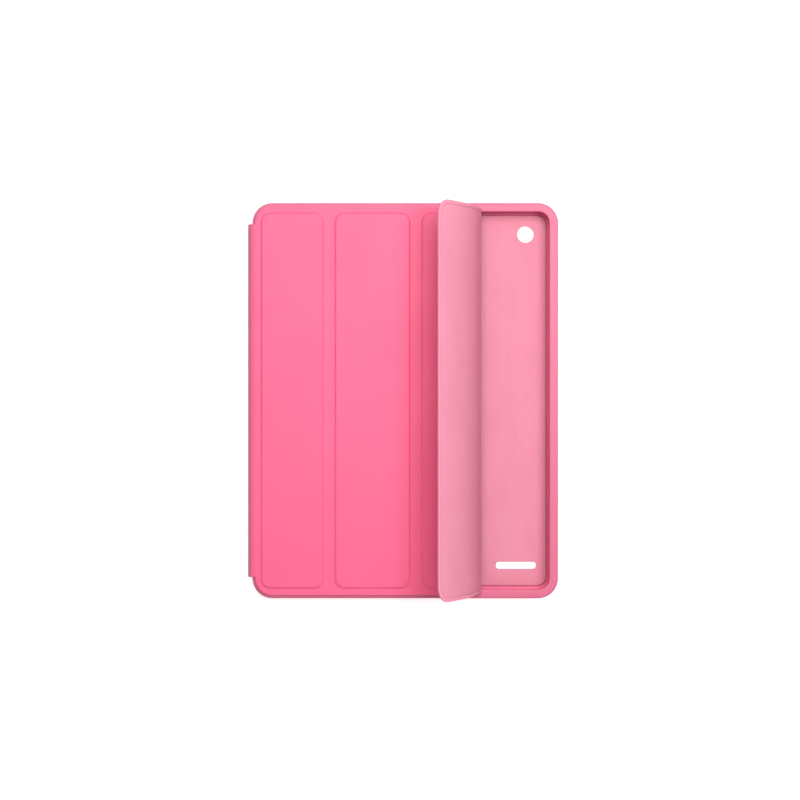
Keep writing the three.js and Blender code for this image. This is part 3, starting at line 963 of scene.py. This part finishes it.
def band(name, path, thick_out, thick_in, half_y, material, corner=0.0):
    """A strip along the spine. path is rows of (x, z) along the layer, thick_out and thick_in are how
    far its faces lie along the path's left-hand normal, and both ends roll off. corner is how much worn
    colour the strip gets at the spine's upper corner, as painted shade on its side turned from the light."""
    tangent = np.gradient(path, axis=0)
    tangent /= np.linalg.norm(tangent, axis=1, keepdims=True)
    normal = np.column_stack([-tangent[:, 1], tangent[:, 0]])
    near = np.concatenate([ROLL_STEPS, [0.8, 1.5]]) * MM
    along = np.arange(-half_y + 4 * MM, half_y - 3.5 * MM, 4 * MM)
    rows = np.unique(np.round(np.concatenate([-half_y + near, along, half_y - near]), 7))
    middle = (thick_out + thick_in) / 2
    drop = drop_at_edge(half_y - np.abs(rows), SPINE_ROLL)
    faces_at = []
    for side in (thick_out, thick_in):
        gap = np.asarray(side - middle)
        reach = middle + np.sign(gap) * (np.abs(gap) - np.minimum(drop[None, :] * 0.8, np.abs(gap) * 0.9))
        x = path[:, :1] + normal[:, :1] * reach
        z = path[:, 1:] + normal[:, 1:] * reach
        faces_at.append(np.stack([x, np.broadcast_to(rows, x.shape), z], axis=-1).reshape(-1, 3))
    points = np.concatenate(faces_at)
    piece = build(name, points, slab_faces(len(path), len(rows)), material, SHEET_CREASE)
    wear = 0.5 * (1 - smooth((half_y - np.abs(points[:, 1])) / (0.9 * MM)))
    outside = 1 - smooth((points[:, 0] - skin_x - 1.6 * MM) / (1.4 * MM))
    # painted shade on the outside of the spine's upper corner
    painted_shade_high_up = smooth((points[:, 2] - spine_high[2] + CORNER_SHADE_DEEP) / CORNER_SHADE_DEEP)
    point_layer(piece, "edge", wear + corner * outside * painted_shade_high_up)
    return piece


def curve(a, a_pull, b_pull, b, steps=26):
    """Rows of a cubic curve from a to b, drawn towards the two pull points."""
    t = np.linspace(0, 1, steps)[:, None]
    a, a_pull, b_pull, b = (np.array(p, float) for p in (a, a_pull, b_pull, b))
    return (1 - t) ** 3 * a + 3 * (1 - t) ** 2 * t * a_pull + 3 * (1 - t) * t ** 2 * b_pull + t ** 3 * b


def upright(x):
    """A straight path up the spine at x."""
    return np.column_stack([np.full(12, x), np.linspace(spine_low[2], spine_high[2], 12)])


spine_leather = band(
    "spine_leather", upright(leather_mid), SKIN_T / 2, -SKIN_T / 2, SPINE_Y, leather, corner=1.0
)
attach(spine_leather, "spine")
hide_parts("spine_skin")

lining_low, lining_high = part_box("spine_lining")
lining_mid = (lining_low.x + lining_high.x) / 2
lining_half = (lining_high.x - lining_low.x) / 2
spine_nap = band(
    "spine_microfibre", upright(lining_mid), lining_half, -lining_half, SPINE_Y, microfibre
)
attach(spine_nap, "spine")
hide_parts("spine_lining")

# over the upper corner: leather outside, microfibre inside
strip_z = COVER_Z + (BORDER_Z + LAYER_Z) / 2
front_path = curve(
    (leather_mid, spine_high[2]), (leather_mid + 0.1 * MM, spine_high[2] + 0.7 * MM),
    (leather_mid + 2.2 * MM, strip_z), (cover_left, strip_z),
)
grow = np.linspace(SKIN_T / 2, STRIP_T / 2, len(front_path))[:, None]
front_strip = band("front_hinge_leather", front_path, grow, -grow, SPINE_Y, leather, corner=1.0)
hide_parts("front_hinge_strip")
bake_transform(front_strip)

nap_z = COVER_Z + LAYER_Z / 2
nap_path = curve(
    (lining_mid, spine_high[2]), (lining_mid, nap_z - 0.1 * MM),
    (lining_mid + 0.1 * MM, nap_z), (cover_left, nap_z), 20,
)
NAP_HALF_T = 0.19 * MM
front_nap = band(
    "front_hinge_microfibre", nap_path, NAP_HALF_T, -NAP_HALF_T, SPINE_Y - 0.5 * MM, microfibre
)
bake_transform(front_nap)

# under the tray: the strip leaves the rounded back, where it is pared thin, and turns up the spine
GLUE = 0.05 * MM
under_turn = arc((-shell_half[0] + BACK_IN, BACK_UP), (BACK_IN + GLUE, BACK_UP + GLUE), 240, 222, 8)
strip_out = curve(
    under_turn[-1], under_turn[-1] + np.array([-1.9 * MM, 0.55 * MM]),
    (leather_mid, spine_low[2] - 1.6 * MM), (leather_mid, spine_low[2]), 22,
)
rear_path = np.concatenate([under_turn, strip_out[1:]])
full = smooth(np.linspace(0.25, 3.2, len(rear_path)))[:, None]
rear_out = SKIN_T * (0.08 + 0.42 * full)
rear_in = -SKIN_T * (0.02 + 0.48 * full)
rear_strip = band("rear_hinge_leather", rear_path, rear_out, rear_in, SPINE_Y, leather)
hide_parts("rear_hinge_strip")
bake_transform(rear_strip)


# ---------------------------------------------------------------- boards and magnets
# Inside the cover and the spine: pressed fibre boards, nickel-plated magnets let into them along
# the flap's free edge and in the first panel, and one that wakes the tablet.
def fibre_board_finish(name):
    """Pressed board: brown fibres lying all ways, and darker specks."""
    pressed = Finish(name, Specular_IOR_Level=0.2)
    fibres = pressed.noise(0.8 * MM, 5.0, (1.0, 0.25, 1.0))
    specks = pressed.level(pressed.noise(0.5 * MM, 2.0), 0.62, 0.75)
    colour = pressed.mix(pressed.level(fibres, 0.3, 0.7), (0.52, 0.40, 0.26, 1), (0.36, 0.26, 0.16, 1))
    pressed.feed("Base Color", pressed.mix(specks * 0.6, colour, (0.20, 0.14, 0.09, 1)))
    pressed.feed("Roughness", 0.78 + fibres * 0.15)
    pressed.bump(fibres, 0.05 * MM, 0.6)
    return pressed.material


def nickel_finish(name):
    """Nickel plate: bright, with fine brushed scratches and dull patches."""
    plate = Finish(name, Metallic=1.0)
    scratches = plate.noise(0.12 * MM, 2.0, (1.0, 0.05, 1.0))
    patches = plate.noise(3 * MM, 2.0)
    plate.feed("Base Color", plate.mix(patches, (0.74, 0.73, 0.70, 1), (0.60, 0.59, 0.57, 1)))
    plate.feed("Roughness", 0.2 + scratches * 0.15 + patches * 0.1)
    plate.bump(scratches, 0.01 * MM, 0.4)
    return plate.material


fibre_board = fibre_board_finish("fibre_board")
nickel = nickel_finish("nickel_plate")
for name, node in frame["nodes"].items():
    is_magnet = "magnet" in name
    if name.endswith("_board") or is_magnet:
        node.data.materials.clear()
        node.data.materials.append(nickel if is_magnet else fibre_board)
